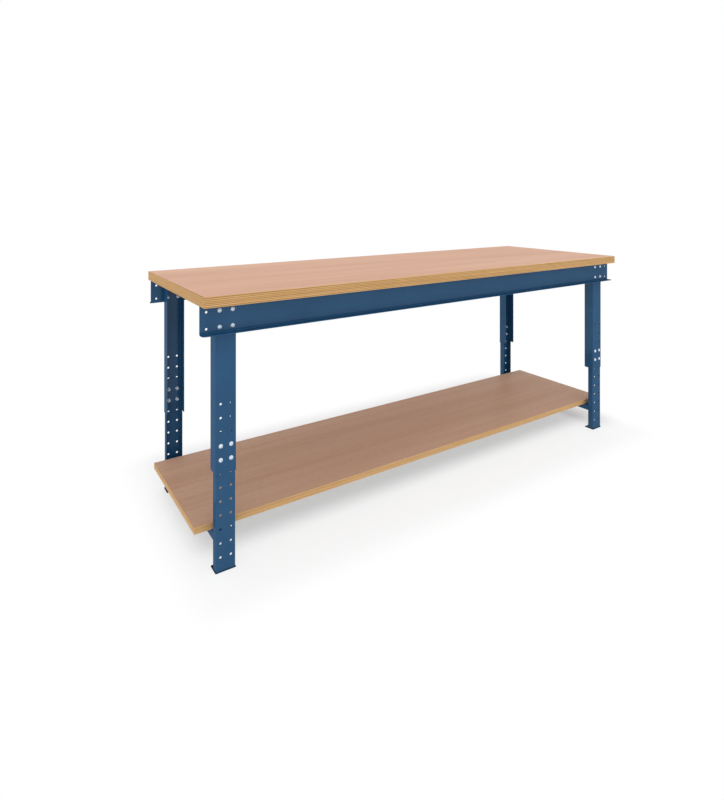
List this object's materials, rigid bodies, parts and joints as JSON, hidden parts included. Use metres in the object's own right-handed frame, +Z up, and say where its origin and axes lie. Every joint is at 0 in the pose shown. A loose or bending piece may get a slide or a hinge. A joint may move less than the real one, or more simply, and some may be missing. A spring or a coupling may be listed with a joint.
{
  "type": "assembly table",
  "caption": "Long assembly table: beech board on bolted sheet-steel rails and telescoping channel legs with hole rows for the height, and a lower shelf.",
  "frame": {"origin": "on the floor, under the middle of the table", "axes": "+X along the table to the right as seen from the front, +Y to the back, +Z up"},
  "size_m": [2.5, 0.75, 1],
  "materials": {
    "beech_worktop": "oiled beech multiplex, satin",
    "beech_shelf": "beech multiplex, satin",
    "blue_paint": "blue powder coat, satin",
    "zinc_steel": "bright zinc plate"
  },
  "bodies": {
    "lower_frame": {"lower_leg_front_left": "blue_paint", "lower_leg_front_right": "blue_paint", "lower_leg_back_left": "blue_paint", "lower_leg_back_right": "blue_paint", "foot_plate_front_left": "blue_paint", "foot_plate_front_right": "blue_paint", "foot_plate_back_left": "blue_paint", "foot_plate_back_right": "blue_paint", "shelf_bearer_left": "blue_paint", "shelf_bearer_right": "blue_paint", "shelf": "beech_shelf", "shelf_screws": "zinc_steel"},
    "upper_frame": {"worktop": "beech_worktop", "front_rail": "blue_paint", "back_rail": "blue_paint", "upper_leg_front_left": "blue_paint", "upper_leg_front_right": "blue_paint", "upper_leg_back_left": "blue_paint", "upper_leg_back_right": "blue_paint", "top_cross_member_left": "blue_paint", "top_cross_member_right": "blue_paint", "rail_bolts_front": "zinc_steel", "rail_outer_washers_front": "zinc_steel", "rail_inner_washers_front": "zinc_steel", "rail_nuts_front": "zinc_steel", "rail_bolts_back": "zinc_steel", "rail_outer_washers_back": "zinc_steel", "rail_inner_washers_back": "zinc_steel", "rail_nuts_back": "zinc_steel", "height_bolts_front": "zinc_steel", "height_outer_washers_front": "zinc_steel", "height_inner_washers_front": "zinc_steel", "height_nuts_front": "zinc_steel", "height_bolts_back": "zinc_steel", "height_outer_washers_back": "zinc_steel", "height_inner_washers_back": "zinc_steel", "height_nuts_back": "zinc_steel", "worktop_rail_screws": "zinc_steel", "worktop_end_screws": "zinc_steel"}
  },
  "joints": [
    {"name": "height_slide", "type": "slide", "parent": "lower_frame", "child": "upper_frame", "axis": [0, 0, 1], "range_m": [-0.3, 0]}
  ]
}
